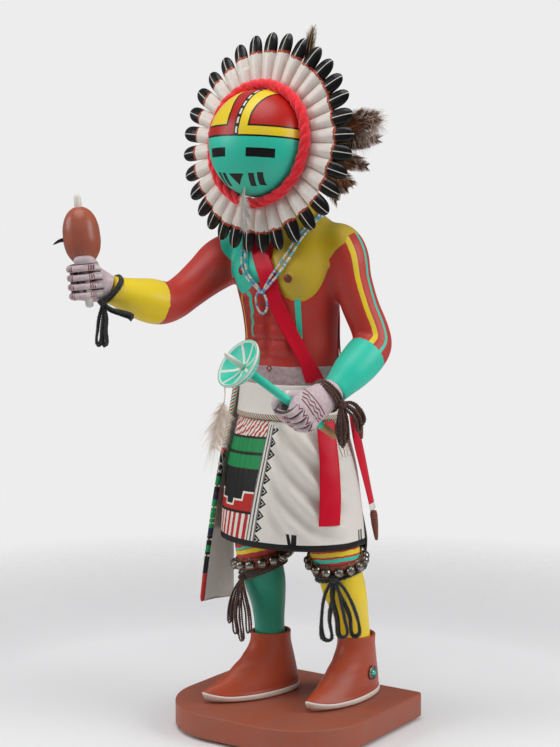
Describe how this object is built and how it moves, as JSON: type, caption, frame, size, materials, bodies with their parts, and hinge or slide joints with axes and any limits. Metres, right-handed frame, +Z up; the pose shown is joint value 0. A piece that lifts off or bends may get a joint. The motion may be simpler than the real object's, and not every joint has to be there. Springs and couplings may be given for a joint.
{
  "type": "kachina doll",
  "caption": "Carved and painted kachina doll of a masked dancer with a feather ruff, rattle and staff, on a board",
  "frame": {"origin": "centre of the board's underside", "axes": "+Z up, X along the board's straight back edge towards the figure's left, the figure faces about -Y"},
  "size_m": [0.1712, 0.1736, 0.4502],
  "materials": {
    "base_paint": "satin terracotta paint on wood",
    "painted_wood": "satin paint on carved wood, mostly red, teal, yellow and white",
    "ruff_paint": "satin white paint with black feather tips",
    "red_yarn": "fluffy wool",
    "brown_feather": "natural feather",
    "down_feather": "natural down",
    "white_wood": "satin white paint",
    "gourd_paint": "polished brown paint",
    "dark_horn": "satin dark brown",
    "turquoise_paint": "satin turquoise paint",
    "sash_paint": "satin paint with woven patterns",
    "red_satin": "satin ribbon",
    "brown_cord": "tightly wound brown thread",
    "glass_beads": "opaque glass beads in pale blue and white",
    "brown_yarn": "plied wool",
    "black_yarn": "plied wool",
    "nickel_bells": "nickel-plated brass, slightly tarnished",
    "silver": "oxidised silver with a blue stone"
  },
  "bodies": {
    "root": {"board": "base_paint", "carved_figure": "painted_wood", "feather_ruff": "ruff_paint", "yarn_roll": "red_yarn", "crown_plume": "brown_feather", "back_plumes": "brown_feather", "chin_plume": "down_feather", "rattle_handle": "white_wood", "rattle_gourd": "gourd_paint", "rattle_peg": "dark_horn", "staff_rod": "turquoise_paint", "staff_cup": "turquoise_paint", "staff_spike": "white_wood", "staff_plume": "down_feather", "hip_sash": "sash_paint", "shoulder_ribbon": "red_satin", "hip_ribbon": "red_satin", "side_ribbon": "red_satin", "side_drop": "brown_cord", "belt_drop": "brown_cord", "necklace": "glass_beads", "right_wrist_yarn": "black_yarn", "left_wrist_yarn": "brown_yarn", "right_knee_yarn": "brown_yarn", "left_knee_yarn": "black_yarn", "right_knee_bells": "nickel_bells", "left_knee_bells": "nickel_bells", "boot_concho": "silver"}
  },
  "joints": []
}
